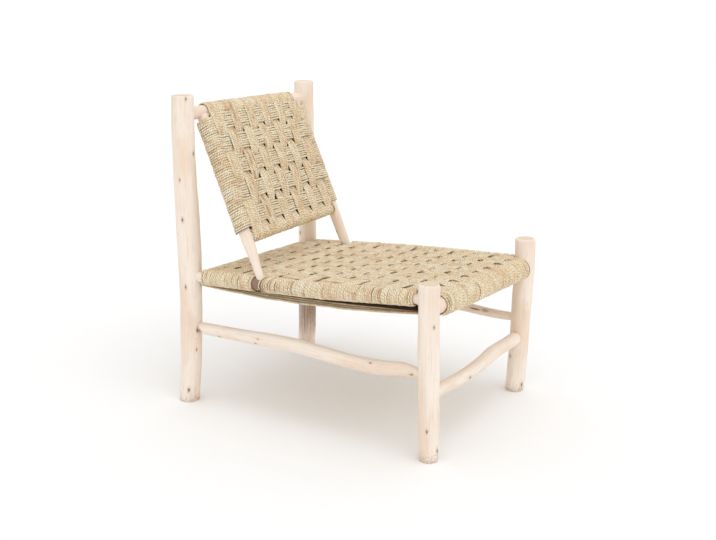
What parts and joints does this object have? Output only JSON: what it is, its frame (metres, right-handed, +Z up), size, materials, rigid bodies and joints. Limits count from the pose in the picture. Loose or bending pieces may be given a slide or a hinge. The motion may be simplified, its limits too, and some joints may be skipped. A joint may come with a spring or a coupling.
{
  "type": "lounge chair",
  "caption": "Low lounge chair of peeled branches with a rope-woven seat and a leaning rope-woven back between tall rear posts.",
  "frame": {"origin": "on the floor under the middle of the chair's overall box", "axes": "+Z up, the front of the chair faces -Y, and left, seen from the front of the chair, is -X"},
  "size_m": [0.5553, 0.7304, 0.76],
  "materials": {
    "peeled_wood": "peeled and sanded, unvarnished",
    "rope": "twisted natural palm or grass rope"
  },
  "bodies": {
    "root": {"rear_left_post": "peeled_wood", "rear_right_post": "peeled_wood", "front_left_post": "peeled_wood", "front_right_post": "peeled_wood", "left_stretcher": "peeled_wood", "right_stretcher": "peeled_wood", "front_stretcher": "peeled_wood", "seat_front_rail": "peeled_wood", "seat_rear_rail": "peeled_wood", "seat_left_rail": "peeled_wood", "seat_right_rail": "peeled_wood", "back_top_rail": "peeled_wood", "back_left_stile": "peeled_wood", "back_right_stile": "peeled_wood", "back_bottom_rail": "peeled_wood", "seat_front_wrap": "rope", "seat_rear_wrap": "rope", "seat_left_wrap": "rope", "seat_right_wrap": "rope", "back_top_wrap": "rope", "back_bottom_wrap": "rope", "back_left_winding": "rope", "back_right_winding": "rope", "seat_warp": "rope", "seat_weft": "rope", "seat_under_warp": "rope", "seat_under_weft": "rope", "back_warp": "rope", "back_weft": "rope", "back_rear_warp": "rope", "back_rear_weft": "rope"}
  },
  "joints": []
}
